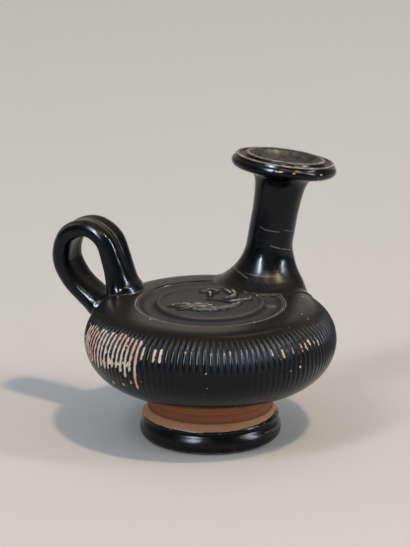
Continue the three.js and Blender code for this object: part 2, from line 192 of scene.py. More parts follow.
# Fired clay: a fine, matt, orange earthenware, redder and darker where a wash of thin slip ran over it.
# The eye gets a dry, grainy surface with faint rings from the wheel. The slip on it is dark, glassy and thin.
clay = bpy.data.materials.new("fired orange clay under black slip")
clay.use_nodes = True
tree = clay.node_tree
surface = tree.nodes["Principled BSDF"]
place = add_node(tree, 'ShaderNodeTexCoord').node.outputs['Object']
stroke = add_node(tree, 'ShaderNodeAttribute', {'attribute_name': "stroke"}).node.outputs['Fac']
rubbed = add_node(tree, 'ShaderNodeAttribute', {'attribute_name': "rubbed"}).node.outputs['Fac']
scuffed = add_node(tree, 'ShaderNodeAttribute', {'attribute_name': "scuffed"}).node.outputs['Fac']
bare = add_node(tree, 'ShaderNodeAttribute', {'attribute_name': "bare"}).node.outputs['Fac']
stem = add_node(tree, 'ShaderNodeAttribute', {'attribute_name': "stem"}).node.outputs['Fac']
wander = add_node(tree, 'ShaderNodeTexNoise', {'Scale': 150, 'Detail': 3, 'Roughness': 0.6}, {'Vector': place})
fine = add_node(tree, 'ShaderNodeTexNoise', {'Scale': 520, 'Detail': 3, 'Roughness': 0.6}, {'Vector': place})
grain = add_node(tree, 'ShaderNodeTexNoise', {'Scale': 1400, 'Detail': 3}, {'Vector': place})
rings = add_node(tree, 'ShaderNodeTexNoise', {'noise_dimensions': '1D', 'Scale': 1.7, 'Detail': 3}, {'W': stroke})
slip_line = add_node(tree, 'ShaderNodeMath', {'operation': 'MULTIPLY_ADD', 1: 0.5}, {0: wander, 2: bare})
clean = add_node(tree, 'ShaderNodeMapRange', {'From Min': 0.7, 'From Max': 0.8}, {'Value': slip_line})
stem_tone = add_node(tree, 'ShaderNodeMapRange', {'From Min': 0.3, 'From Max': 0.75}, {'Value': rings})
bevel_colour = add_node(tree, 'ShaderNodeMix', {'data_type': 'RGBA', 6: colour("BE8459"), 7: colour("DCA273")},
                        {0: wander})
stem_colour = add_node(tree, 'ShaderNodeMix', {'data_type': 'RGBA', 6: colour("7E4A2E"), 7: colour("AE6C48")},
                       {0: stem_tone})
earth = add_node(tree, 'ShaderNodeMix', {'data_type': 'RGBA'}, {0: stem, 6: bevel_colour, 7: stem_colour})
coated = add_node(tree, 'ShaderNodeMix', {'data_type': 'RGBA', 6: colour("070B0F")}, {0: clean, 7: earth})
scuff_power = add_node(tree, 'ShaderNodeMath', {'operation': 'MULTIPLY', 'use_clamp': True}, {0: scuffed, 1: fine})
thinned = add_node(tree, 'ShaderNodeMix', {'data_type': 'RGBA', 7: colour("B7AC9B")}, {0: scuff_power, 6: coated})
worn = add_node(tree, 'ShaderNodeMath', {'operation': 'MULTIPLY_ADD', 1: 0.9}, {0: fine, 2: rubbed})
worn_through = add_node(tree, 'ShaderNodeMapRange', {'From Min': 0.98, 'From Max': 1.08, 'To Max': 0.9}, {'Value': worn})
skin = add_node(tree, 'ShaderNodeMix', {'data_type': 'RGBA', 7: colour("D0AE94")}, {0: worn_through, 6: thinned})
tree.links.new(skin, surface.inputs['Base Color'])
dry = add_node(tree, 'ShaderNodeMath', {'operation': 'MAXIMUM'}, {0: clean, 1: worn_through})
dullness = add_node(tree, 'ShaderNodeMapRange', {'To Min': 0.22, 'To Max': 0.78}, {'Value': dry})
tree.links.new(dullness, surface.inputs['Roughness'])
relief_height = add_node(tree, 'ShaderNodeMath', {'operation': 'MULTIPLY_ADD', 1: 0.5}, {0: grain, 2: rings})
tree.links.new(add_node(tree, 'ShaderNodeBump', {'Strength': 0.3, 'Distance': 0.0003}, {'Height': relief_height}),
               surface.inputs['Normal'])
surface.inputs['IOR'].default_value = 1.33
foot.data.materials.append(clay)
settle(foot, "foot")

# Body
# A thrown, closed and flattened chamber of the same clay. About 120 ribs were pressed round its outside with a tool,
# from the shoulder down to the belly, and fade out low down. A hole is pierced through the shoulder under the neck.
BODY_RADIUS, WIDEST, BELLY_RUN, BELLY_DEPTH, SHOULDER_RUN, SHOULDER_RISE = 53.0, 42.4, 21.4, 19.5, 15.6, 15.2
RIBS, RIB_DEPTH, COLUMNS_PER_RIB, EDGE_LEVEL = 120, 0.75, 8, 70
SHOULDER_TOP = WIDEST + SHOULDER_RISE
WALL = 4.4


def body_arc(inset, start, end, steps):
    """Points (r, z) of the body's skin, or of a skin inset from it, along the belly or the shoulder"""
    run, rise = (BELLY_RUN, BELLY_DEPTH) if max(start, end) <= 0 else (SHOULDER_RUN, SHOULDER_RISE)
    return arc((BODY_RADIUS - run, WIDEST), (run - inset, rise - inset), start, end, steps)


body_profile = [
    (0, 20.9), (28.0, 20.9),
    *body_arc(0, -90, 0, 32),
    *body_arc(0, 2.7, 90, 33),
    (34.5, 57.6), (32.3, 57.62), (31.75, 57.62), (31.4, 57.5), (31.15, 57.2), (31.1, 56.7), (31.1, 53.8), (28.1, 53.8),
    (28.1, 51.0), (32.1, 51.0),
    *body_arc(WALL, 90, 10, 5),
    *body_arc(WALL, 0, -90, 6),
    (0, 26.3),
]
body = throw("ribbed_body", body_profile, RIBS * COLUMNS_PER_RIB)
points = points_of(body)
radial = np.hypot(points[:, 0], points[:, 1])
azimuth = np.arctan2(points[:, 1], points[:, 0])
above = points[:, 2] >= WIDEST
run = np.where(above, SHOULDER_RUN, BELLY_RUN)
rise = np.where(above, SHOULDER_RISE, BELLY_DEPTH)
level = np.degrees(np.arcsin(np.clip((points[:, 2] - WIDEST) / rise, -1, 1)))
on_skin = np.hypot((radial - BODY_RADIUS + run) / run, (points[:, 2] - WIDEST) / rise) > 0.97
outside = (radial > 31.5) & (np.abs(points[:, 2] - WIDEST) <= rise + 0.01) & on_skin
# The ribs end at an edge on the shoulder and die away over the belly, some sooner than others
uneven = np.sin(azimuth * 7.3) + 0.8 * np.sin(azimuth * 17.1) + 0.5 * np.sin(azimuth * 60)
top_fade = 1 - ramp(level, 44 + uneven, 71) ** 0.8
belly_fade = 1 - 0.78 * ramp(level, 6, -12 + 2 * uneven) - 0.22 * ramp(level, -12, -40 + 3 * uneven)
column = np.round(azimuth / (2 * math.pi) * RIBS * COLUMNS_PER_RIB).astype(int) % COLUMNS_PER_RIB
rib = np.round(azimuth / (2 * math.pi) * RIBS).astype(int) % RIBS
groove = (0.5 - 0.5 * np.cos(2 * math.pi * column / COLUMNS_PER_RIB)) ** 1.4
clearest = ramp(np.degrees(azimuth) % 360, 262, 284) * (1 - ramp(np.degrees(azimuth) % 360, 304, 326))
edge_depth = 0.1 + 0.42 * clearest
shoulder_edge = edge_depth * (1 - ramp(level, EDGE_LEVEL, EDGE_LEVEL + 2.6)) * above * ramp(level, 5, 55)
depth = np.where(outside, RIB_DEPTH * top_fade * belly_fade * groove + shoulder_edge, 0)
sway = 0.005 * np.sin(azimuth * 5 + points[:, 2] * 0.05) + 0.004 * np.sin(azimuth * 13 - points[:, 2] * 0.09)
angle = azimuth + np.where(outside, sway, 0)
lean = np.radians(level)
points[:, 0] = (radial - depth * np.cos(lean)) * np.cos(angle)
points[:, 1] = (radial - depth * np.cos(lean)) * np.sin(angle)
points[:, 2] -= depth * np.sin(lean)
move_points(body, points)

# Where the slip is rubbed off: the rib crests on the left; short chips along the front, which are partly painted
# highlights on the front crests; and the opening's edge, whose pale line is partly wear and partly a painted highlight.
# The chance of each rib and its ragged ends come from one seeded list of numbers.
degrees_round = np.degrees(angle) % 360
height = points[:, 2]
chance = np.random.default_rng(7).random((RIBS, 5))[rib]
width = 0.62 + 0.26 * chance[:, 0] + 0.16 * np.sin(height * 1.9 + 9 * chance[:, 1])
rib_crest = 1 - ramp(groove, -0.1, width)
in_patch = ramp(degrees_round, 184, 190) * (1 - ramp(degrees_round, 234, 237))
patch_top = 51.4 + 2.4 * ramp(degrees_round, 192, 216) + 1.3 * (chance[:, 2] - 0.5)
patch_foot = 38.2 + 1.5 * ramp(degrees_round, 205, 225) + 3.4 * (chance[:, 3] - 0.5)
patch_foot = np.where(near(degrees_round, 233.5, 1.2, 1.3) > 0.5, 33.4, patch_foot)
in_patch *= ramp(height, patch_foot - 0.4, patch_foot + 0.4) * (1 - ramp(height, patch_top - 0.6, patch_top + 0.4))
join_height = 40.8 + 0.17 * (degrees_round - 210)
joined = 0.56 * in_patch * near(height, join_height, 0.4, 2.0) * (0.2 + 0.8 * ramp(degrees_round, 205, 212))
blotch = 0.62 * in_patch * near(degrees_round, 216.5, 0.8, 3) * near(height, 46, 0.5, 2)
bits = (degrees_round > 216) & (degrees_round < 238) & (chance[:, 4] > 0.3)
bits = 0.9 * bits * near(height, 33.0 + 0.22 * (degrees_round - 218) + 1.6 * (chance[:, 1] - 0.5), 0.5, 1.1)
beside = (degrees_round > 236) & (degrees_round < 248) & (chance[:, 4] > 0.4)
beside = 0.85 * beside * ramp(height, 46.4, 47.4) * (1 - ramp(height, 51.6, 52.8))
# Pale marks on the front rib crests: partly chips and partly painted highlights
front_chips_and_highlights = 0.44 * near(height, 51.6, 0.6, 2.6) * ramp(degrees_round, 240, 252) * (1 - ramp(degrees_round, 290, 302))
right_chips = 0.74 * near(height, 49.6 + 1.6 * (chance[:, 2] - 0.5), 1.2, 2.8) * (0.55 + 0.45 * chance[:, 3])
right_chips *= ramp(degrees_round, 292, 300) * (1 - ramp(degrees_round, 330, 338))
# The opening's edge: a pale line, partly wear and partly a painted highlight, wider on the front
opening_edge_wear_and_highlight = near(radial, 31.45, 0.12, 0.32 + 0.3 * ramp(-np.sin(azimuth), 0, 0.9)) * (height > 56.9)
opening_edge_wear_and_highlight *= ramp(-np.sin(azimuth), -0.75, -0.1)
keep_value(body, "rubbed", 0.4 * opening_edge_wear_and_highlight + np.where(outside, np.maximum.reduce([
    in_patch * rib_crest, joined, blotch, bits * rib_crest, beside * rib_crest, front_chips_and_highlights * rib_crest,
    right_chips * rib_crest]), 0))
keep_value(body, "scuffed", opening_edge_wear_and_highlight)
# Painted shade: the rib grooves are darker, and so is a line under the shoulder's edge on the front right, where its
# shadow falls
groove_shade = ramp(groove, 0.12, 0.6) * np.minimum(top_fade, 0.12 + 0.88 * ramp(level, -6, 12))
shoulder_edge_shade = 0.8 * clearest * near(level, EDGE_LEVEL + 1.3, 0.6, 2.2)
keep_value(body, "painted_shade", outside * np.maximum(groove_shade, shoulder_edge_shade))

bpy.ops.object.select_all(action='DESELECT')
neck_azimuth, neck_distance = math.radians(54.0), 38.3
PIERCED_RADIUS, PIERCED_DEPTH = 6.6, 14
bpy.ops.mesh.primitive_cylinder_add(vertices=48, radius=PIERCED_RADIUS, depth=PIERCED_DEPTH, location=(
    neck_distance * math.cos(neck_azimuth), neck_distance * math.sin(neck_azimuth), SHOULDER_TOP - WALL / 2))
awl = bpy.context.object
pierced = body.modifiers.new("hole pierced by the awl", 'BOOLEAN')
pierced.operation, pierced.object, pierced.solver = 'DIFFERENCE', awl, 'MANIFOLD'
bpy.context.view_layer.objects.active = body
bpy.ops.object.modifier_apply(modifier=pierced.name)
bpy.data.objects.remove(awl)
body.data.materials.clear()


def fired_slip(name, side_colour, lit_top_colour, gloss, specks, clay_tones=("D6C6B2", "C99F88")):
    """Fired black slip: a thin clay coat that sintered to a glassy skin. Upright walls are blue-black and shine. What
    faces up is duller, and is painted lighter and browner as a painted light from above. Where shade is painted, the
    coat is darker and duller. Scuffed lines are greyish, and rubbed places show the pale clay."""
    slip = bpy.data.materials.new(name)
    slip.use_nodes = True
    tree = slip.node_tree
    surface = tree.nodes["Principled BSDF"]
    place = add_node(tree, 'ShaderNodeTexCoord').node.outputs['Object']
    normal = add_node(tree, 'ShaderNodeNewGeometry').node.outputs['Normal']
    upward = add_node(tree, 'ShaderNodeSeparateXYZ', links={0: normal}).node.outputs['Z']
    stroke = add_node(tree, 'ShaderNodeAttribute', {'attribute_name': "stroke"}).node.outputs['Fac']
    rubbed = add_node(tree, 'ShaderNodeAttribute', {'attribute_name': "rubbed"}).node.outputs['Fac']
    scuffed = add_node(tree, 'ShaderNodeAttribute', {'attribute_name': "scuffed"}).node.outputs['Fac']
    painted_shade = add_node(tree, 'ShaderNodeAttribute', {'attribute_name': "painted_shade"}).node.outputs['Fac']
    cloud = add_node(tree, 'ShaderNodeTexNoise', {'Scale': 55, 'Detail': 4, 'Roughness': 0.6}, {'Vector': place})
    mottle = add_node(tree, 'ShaderNodeTexNoise', {'Scale': 420, 'Detail': 5, 'Roughness': 0.65}, {'Vector': place})
    fingers = add_node(tree, 'ShaderNodeTexNoise', {'noise_dimensions': '1D', 'Scale': 0.9, 'Detail': 4}, {'W': stroke})
    # Painted light: surfaces facing up are mixed toward the lighter, browner top colour, which stands in for the light
    # from above
    facing = add_node(tree, 'ShaderNodeMath', {'operation': 'MULTIPLY_ADD', 1: 0.35}, {0: cloud, 2: upward})
    top = add_node(tree, 'ShaderNodeMapRange', {'From Min': 0.62, 'From Max': 1.12}, {'Value': facing})
    tint = add_node(tree, 'ShaderNodeMix', {'data_type': 'RGBA', 6: colour(side_colour), 7: colour(lit_top_colour)},
                    {0: top})
    thin = add_node(tree, 'ShaderNodeMapRange', {'From Min': 0.56, 'From Max': 0.75, 'To Max': 0.5}, {'Value': cloud})
    brown = add_node(tree, 'ShaderNodeMix', {'data_type': 'RGBA', 7: colour("2C2419")}, {0: thin, 6: tint})
    # Painted shade darkens the grooves and other shaded hollows, and makes them rougher so they lose their shine
    shaded_colour = add_node(tree, 'ShaderNodeMix', {'data_type': 'RGBA', 7: colour("040404")}, {0: painted_shade, 6: brown})
    # Scuffs are a haze in the coat, stronger in some places than in others
    patchy = add_node(tree, 'ShaderNodeMapRange', {'From Min': 0.34, 'From Max': 0.66, 'To Min': 0.25}, {'Value': mottle})
    haze = add_node(tree, 'ShaderNodeMath', {'operation': 'MULTIPLY', 'use_clamp': True}, {0: scuffed, 1: patchy})
    hazy = add_node(tree, 'ShaderNodeMix', {'data_type': 'RGBA', 7: colour("B5AB9A")}, {0: haze, 6: shaded_colour})
    pits = add_node(tree, 'ShaderNodeTexVoronoi', {'Scale': 260, 'Randomness': 1}, {'Vector': place})
    gate = add_node(tree, 'ShaderNodeTexNoise', {'Scale': 90, 'Detail': 2}, {'Vector': place})
    pit_size = add_node(tree, 'ShaderNodeMapRange', {'From Min': 0.5, 'From Max': 0.8, 'To Max': specks},
                        {'Value': gate})
    speck = add_node(tree, 'ShaderNodeMath', {'operation': 'LESS_THAN'}, {0: pits, 1: pit_size})
    worn = add_node(tree, 'ShaderNodeMath', {'operation': 'MULTIPLY_ADD', 1: 1.6}, {0: mottle, 2: rubbed})
    worn_through = add_node(tree, 'ShaderNodeMapRange', {'From Min': 1.27, 'From Max': 1.35}, {'Value': worn})
    lost = add_node(tree, 'ShaderNodeMath', {'operation': 'MAXIMUM'}, {0: speck, 1: worn_through})
    baked = add_node(tree, 'ShaderNodeMapRange', {'From Min': 0.4, 'From Max': 0.62}, {'Value': cloud})
    clay = add_node(tree, 'ShaderNodeMix', {'data_type': 'RGBA', 6: colour(clay_tones[0]), 7: colour(clay_tones[1])},
                    {0: baked})
    skin = add_node(tree, 'ShaderNodeMix', {'data_type': 'RGBA'}, {0: lost, 6: hazy, 7: clay})
    tree.links.new(skin, surface.inputs['Base Color'])
    shine = add_node(tree, 'ShaderNodeMapRange',
                     {'From Min': 0.35, 'From Max': 0.7, 'To Min': gloss, 'To Max': gloss + 0.1}, {'Value': mottle})
    satin = add_node(tree, 'ShaderNodeMath', {'operation': 'MULTIPLY_ADD', 1: 0.16}, {0: top, 2: shine})
    matt = add_node(tree, 'ShaderNodeMath', {'operation': 'MAXIMUM'}, {0: lost, 1: haze})
    dry = add_node(tree, 'ShaderNodeMath', {'operation': 'MAXIMUM'}, {0: matt, 1: painted_shade})
    rough = add_node(tree, 'ShaderNodeMath', {'operation': 'MULTIPLY_ADD', 1: 0.5, 'use_clamp': True},
                     {0: dry, 2: satin})
    tree.links.new(rough, surface.inputs['Roughness'])
    # The skin is a few hundredths of a millimetre thick, drawn here twice as deep so that its edge shows
    dents = add_node(tree, 'ShaderNodeTexNoise', {'Scale': 230, 'Detail': 1}, {'Vector': place})
    brushed = add_node(tree, 'ShaderNodeMath', {'operation': 'MULTIPLY_ADD', 1: 0.5}, {0: fingers, 2: dents})
    skin_height = add_node(tree, 'ShaderNodeMath', {'operation': 'MULTIPLY_ADD', 1: -0.4}, {0: lost, 2: brushed})
    tree.links.new(add_node(tree, 'ShaderNodeBump', {'Strength': 0.22, 'Distance': 0.0003}, {'Height': skin_height}),
                   surface.inputs['Normal'])
    surface.inputs['IOR'].default_value = 1.32
    return slip


# The second colour is painted light: it goes on the surfaces that face up
body.data.materials.append(fired_slip("glossy black slip on the ribs", "040910", "1E1B16", 0.13, 0.26))
settle(body, "body")

# Medallion
# A disc pressed in a mould and luted into the opening: a hollow band, a raised frame and a worn relief of a
# reclining winged figure. Its slip is satin and brownish, and the relief's high points are rubbed pale.
FIELD, FIELD_RADIUS = 57.7, 20.2
medallion_profile = [
    (0, 53.8), (30.7, 53.8), (31.0, 56.9), (30.95, 57.2), (30.7, 57.32), (30.1, 57.28), (29.2, 57.05),
    (28.3, 56.72), (27.3, 56.45), (26.3, 56.3), (25.4, 56.28), (24.5, 56.42), (23.8, 56.75), (23.3, 57.2), (22.9, 57.65), (22.55, 58.1), (22.2, 58.42),
    (21.8, 58.52), (21.3, 58.5), (20.95, 58.34), (20.7, 58.05), (20.45, 57.8), (20.25, 57.72),
    *[(r, FIELD) for r in np.linspace(20.0, 0.0, 76)],
]
medallion = throw("relief_medallion", medallion_profile, 360)
# Strokes of the relief as (x, y, half width, height) in millimetres from the disc's middle
relief = [
    [(-17, -5, 0.8, 0.5), (-14.2, -3.2, 1.0, 0.9), (-11.0, -2.6, 1.2, 0.9), (-8.2, -4.4, 1.0, 1.0)],
    [(-17, -5, 0.7, 0.4), (-14.0, -6.4, 0.8, 0.6), (-10.5, -6.2, 0.9, 0.7), (-8.2, -4.4, 1.0, 1.0)],
    [(-13.2, -9.6, 0.8, 0.5), (-9.5, -8.2, 0.9, 0.8), (-6.5, -6.0, 1.1, 1.0), (-2.5, -6.6, 1.0, 1.0)],
    [(-8.2, -4.4, 0.9, 1.0), (-4.5, -2.6, 0.8, 0.8), (-1.0, -3.6, 0.9, 0.9)],
    [(-6.6, -9.6, 1.3, 1.0), (-4.0, -10.3, 1.6, 1.2), (-0.5, -9.8, 1.7, 1.4), (2.5, -10.4, 1.3, 1.0)],
    [(-3.0, -7.2, 1.2, 1.1), (0.2, -6.6, 1.5, 1.3), (2.4, -7.6, 1.1, 1.1)],
    [(2.4, -7.6, 1.1, 1.2), (6.0, -8.4, 1.0, 1.2), (9.4, -5.6, 1.0, 1.2), (11.2, -3.0, 0.9, 1.0), (12.2, -0.8, 0.7, 0.8)],
    [(8.6, 0.6, 0.8, 0.9), (12.0, 2.0, 0.9, 1.0), (16.6, 4.6, 0.7, 0.7)],
    [(-4.0, 14.6, 0.7, 0.6), (-1.4, 14.6, 0.9, 1.0), (-0.2, 12.8, 0.9, 1.0), (-0.1, 8.2, 0.7, 0.7)],
    [(-3.6, 16.6, 0.6, 0.6), (0.6, 17.6, 0.8, 0.8), (3.0, 15.6, 0.8, 0.7), (2.0, 12.8, 0.6, 0.5)],
    [(6.2, 17.2, 0.9, 0.8), (7.4, 14.8, 0.9, 0.9), (8.4, 12.4, 0.8, 0.8)],
    [(9.2, 15.6, 0.9, 0.9), (10.4, 11.6, 1.0, 1.1), (10.0, 8.2, 1.1, 1.1), (6.6, 5.8, 0.9, 0.9)],
    [(11.2, 17.0, 0.8, 0.8), (13.2, 15.4, 0.8, 0.9), (15.2, 12.4, 0.8, 0.7), (17.6, 10.6, 0.7, 0.5)],
    [(-1.0, 4.8, 0.6, 0.4), (3.8, 3.0, 0.7, 0.5), (8.6, 0.6, 0.7, 0.6)],
]
RELIEF_RISE, RELIEF_SPREAD, RELIEF_ROUNDNESS, MOAT = 1.15, 0.95, 0.5, 0.35
points = points_of(medallion)
radial = np.hypot(points[:, 0], points[:, 1])
in_field = (radial < FIELD_RADIUS) & (points[:, 2] > 57)
height = np.zeros(len(points))
moat = np.zeros(len(points))
crest_line = np.zeros(len(points))
for stroke in relief:
    for (ax, ay, aw, ah), (bx, by, bw, bh) in zip(stroke, stroke[1:]):
        share = (points[:, 0] - ax) * (bx - ax) + (points[:, 1] - ay) * (by - ay)
        share = np.clip(share / ((bx - ax) ** 2 + (by - ay) ** 2), 0, 1)
        distance = np.hypot(points[:, 0] - ax - (bx - ax) * share, points[:, 1] - ay - (by - ay) * share)
        reach = RELIEF_SPREAD * (aw + (bw - aw) * share)
        crown = RELIEF_RISE * (ah + (bh - ah) * share)
        height = np.maximum(height, crown * np.clip(1 - (distance / reach) ** 2, 0, 1) ** RELIEF_ROUNDNESS)
        moat = np.maximum(moat, near(distance, reach + 0.3, 0.2, 0.5))
        crest_line = np.maximum(crest_line, (crown > 0.75) * near(distance, 0, 0.15, 0.42))
points[:, 2] += np.where(in_field, height - MOAT * moat * (height == 0), 0)
# Clay smeared from the neck's root over the band
from_neck = np.hypot(points[:, 0] - 22.5, points[:, 1] - 31.0)
smear = (1 - ramp(from_neck, 20.8, 24.6)) * (points[:, 2] > 56) * (points[:, 2] < 57.5)
points[:, 2] += (57.5 - points[:, 2]) * smear
move_points(medallion, points)
lumps = ramp(height, 1.15, 1.6) * (np.hypot(points[:, 0] - 1, points[:, 1] + 8.5) < 7.5)
keep_value(medallion, "rubbed", np.where(in_field, np.maximum(0.6 * lumps, 0.56 * crest_line), 0))
frame_edge = 0.12 * near(radial, 22.1, 0.1, 0.7) * (points[:, 2] > 58)
# A thin pale line on the disc's edge: partly scuff and partly a painted highlight
disc_edge_scuff_and_highlight = 0.3 * near(radial, 30.8, 0.1, 0.3) * (points[:, 2] > 57)
thin_slip = 0.3 * near(np.hypot(points[:, 0] - 25.3, points[:, 1] + 0.6), 0, 0.8, 3.2)
keep_value(medallion, "scuffed", np.maximum.reduce([
    in_field * 0.4 * near(height, 0.95, 0.08, 0.35), frame_edge, disc_edge_scuff_and_highlight, thin_slip]))
# Painted shade at the foot of the relief, under the frame's front flank and in the band's two ends
facing_front = ramp(-points[:, 1] / np.maximum(radial, 1), 0.05, 0.6)
flank = near(radial, 23.3, 0.3, 0.8) * facing_front
ends = 0.7 * near(radial, 29.2, 0.8, 1.6) * ramp(np.abs(points[:, 0]) / np.maximum(radial, 1), 0.8, 0.97)
relief_foot = in_field * np.maximum(0.8 * moat * (height == 0), 0.85 * (height > 0) * (1 - ramp(height, 0.35, 0.8)))
keep_value(medallion, "painted_shade", np.maximum.reduce([0.85 * flank, ends, relief_foot]))
# The second colour is painted light: it goes on the surfaces that face up
medallion.data.materials.append(fired_slip("satin worn slip on the relief", "161412", "3C3934", 0.4, 0.2,
                                            ("D8CEB6", "CDB79C")))
settle(medallion, "medallion")

# Neck
# A thrown tube luted over the pierced hole and leaning out. Its root spreads on the shoulder like a saddle, and its
# mouth is stepped, with two raised rings round a dish that catches drops of oil.
NECK_LEAN, LEAN_AZIMUTH, MOUTH_SHIFT = math.radians(9.6), math.radians(38.0), 2.2
NECK_RADIUS, NECK_LENGTH, BORE, MOUTH_RADIUS, LIP_RADIUS = 9.7, 55.0, 7.0, 22.4, 16.0
SKIRT_RADIUS, SKIRT_HEIGHT, SKIRT_EDGE, SKIRT_BLEND, SKIRT_CURL, SKIRT_EASE = 20.4, 18.5, 0.8, 12, 2.7, 6.5
SINK, ROOT_CORE, ROOT_ROUND = 3.0, 9.0, 14.6
MOUTH_BASE = NECK_LENGTH - 7.0
# Rows lie close together where the tube is scratched, because its scratches are kept point by point
root_rows = np.concatenate([np.arange(0, 6.6, 0.36), np.arange(7, 15, 1.0), np.arange(15.1, 18.4, 0.36)])
neck_profile = [
    (BORE, -4.4), (ROOT_CORE, -4.4), (12, -SINK - 0.4), (16, -SINK), (16, -SINK / 2), (15.6, -0.5),
    *[(15 - (15 - NECK_RADIUS) * row / SKIRT_HEIGHT, row) for row in root_rows],
    *[(NECK_RADIUS, row) for row in (18.8, 20.0, 21.4, *np.arange(22.4, 25.4, 0.36), 27, 30)],
    (NECK_RADIUS + 0.1, 33), (NECK_RADIUS + 0.5, 38.5), (NECK_RADIUS + 0.9, 41.5),
    (NECK_RADIUS + 1.4, 43.4), (NECK_RADIUS + 2.1, 45.0), (NECK_RADIUS + 3.1, 46.2), (NECK_RADIUS + 4.6, 47.0),
    (MOUTH_RADIUS - 5.6, MOUTH_BASE - 0.5), (MOUTH_RADIUS - 3.4, MOUTH_BASE - 0.1),
    (MOUTH_RADIUS - 1.6, MOUTH_BASE + 0.3),
    *arc((MOUTH_RADIUS - 1.7, MOUTH_BASE + 2.7), (1.7, 2.0), -60, 62, 8),
    (MOUTH_RADIUS - 1.2, NECK_LENGTH - 2.0), (MOUTH_RADIUS - 1.25, NECK_LENGTH - 1.6),
    (MOUTH_RADIUS - 1.45, NECK_LENGTH - 1.15), (MOUTH_RADIUS - 1.9, NECK_LENGTH - 0.9),
    (MOUTH_RADIUS - 2.3, NECK_LENGTH - 1.0), (MOUTH_RADIUS - 2.75, NECK_LENGTH - 1.45),
    (MOUTH_RADIUS - 3.15, NECK_LENGTH - 1.85), (LIP_RADIUS + 2.55, NECK_LENGTH - 1.95),
    (LIP_RADIUS + 1.95, NECK_LENGTH - 1.75), (LIP_RADIUS + 1.5, NECK_LENGTH - 1.2),
    (LIP_RADIUS + 1.15, NECK_LENGTH - 0.5), (LIP_RADIUS + 0.65, NECK_LENGTH - 0.08),
    (LIP_RADIUS, NECK_LENGTH + 0.02), (LIP_RADIUS - 0.6, NECK_LENGTH - 0.25), (LIP_RADIUS - 1.1, NECK_LENGTH - 0.8),
    (14.3, NECK_LENGTH - 1.7), (13.4, NECK_LENGTH - 2.7), (12.2, NECK_LENGTH - 3.8), (10.8, NECK_LENGTH - 4.9),
    (9.2, NECK_LENGTH - 6.1), (7.9, NECK_LENGTH - 7.5), (7.2, NECK_LENGTH - 9.2), (BORE, NECK_LENGTH - 12),
    (BORE, 30), (BORE, 12), (BORE, 0), (BORE, -4.4),
]
neck = throw("leaning_neck", neck_profile, 160)
smooth_steps(neck, 1)
points = points_of(neck)
radial = np.hypot(points[:, 0], points[:, 1])
azimuth = np.arctan2(points[:, 1], points[:, 0])
row = points[:, 2].copy()
outer = (radial > ROOT_CORE - 0.2) & (row < 26)
# The root follows the body: its reach in each direction, and its drop below the flat shoulder
turn = azimuth - neck_azimuth
chord = np.sqrt((BODY_RADIUS - SKIRT_EDGE) ** 2 - (neck_distance * np.sin(turn)) ** 2)
wall_reach = chord - neck_distance * np.cos(turn)
reach = (wall_reach ** -SKIRT_BLEND + SKIRT_RADIUS ** -SKIRT_BLEND) ** (-1 / SKIRT_BLEND)
out = np.hypot(neck_distance + reach * np.cos(turn), reach * np.sin(turn)) - BODY_RADIUS + SHOULDER_RUN
drop = SHOULDER_RISE * (1 - np.sqrt(1 - (np.clip(out, 0, None) / SHOULDER_RUN) ** 2))
share = np.clip(row / SKIRT_HEIGHT, 0, 1)
curl = SKIRT_CURL / (1 + drop / SKIRT_EASE)
skirt_radius = NECK_RADIUS + (reach - NECK_RADIUS) * (1 - share) ** curl * (1 - share ** 8)
# Under the root the clay draws in again, out of sight in the body's wall
sunk = np.clip(-row / SINK, 0, 1)
rooted = np.where(row > 0, 1, np.clip((radial - ROOT_CORE) / (ROOT_ROUND - ROOT_CORE), 0, 1))
thinned_out = 1.3 * np.clip(1 - row / 1.6, 0, 1) ** 2 * (row > 0) + 1.3 * (row <= 0)
fuller_side = 1.4 * np.clip(np.cos(azimuth), 0, 1) ** 2 * np.exp(-((row - 5.5) / 4) ** 2)
root_radius = ROOT_CORE + (skirt_radius + thinned_out + fuller_side + 0.8 * sunk - ROOT_CORE) * rooted
radial = np.where(outer, root_radius, radial)
level_up = np.where(outer, row - (1 - share) * drop * rooted ** 2, row)
# The tube leans and bends a little; at the root the rings still lie level
tilt = NECK_LEAN * np.where(outer, share, 1.0)
lean_x, lean_y = math.cos(LEAN_AZIMUTH), math.sin(LEAN_AZIMUTH)
bend = MOUTH_SHIFT * np.clip(level_up / NECK_LENGTH, 0, None) ** 1.5
flat_x, flat_y = radial * np.cos(azimuth) + bend, radial * np.sin(azimuth)
toward = flat_x * lean_x + flat_y * lean_y
points[:, 0] = flat_x + toward * (np.cos(tilt) - 1) * lean_x
points[:, 1] = flat_y + toward * (np.cos(tilt) - 1) * lean_y
points[:, 2] = -toward * np.sin(tilt)
climb = np.array([math.sin(NECK_LEAN) * lean_x, math.sin(NECK_LEAN) * lean_y, math.cos(NECK_LEAN)])
points += np.where((level_up > 0)[:, None], climb, (0, 0, 1)) * level_up[:, None]
points += (neck_distance * math.cos(neck_azimuth), neck_distance * math.sin(neck_azimuth), SHOULDER_TOP)
move_points(neck, points)

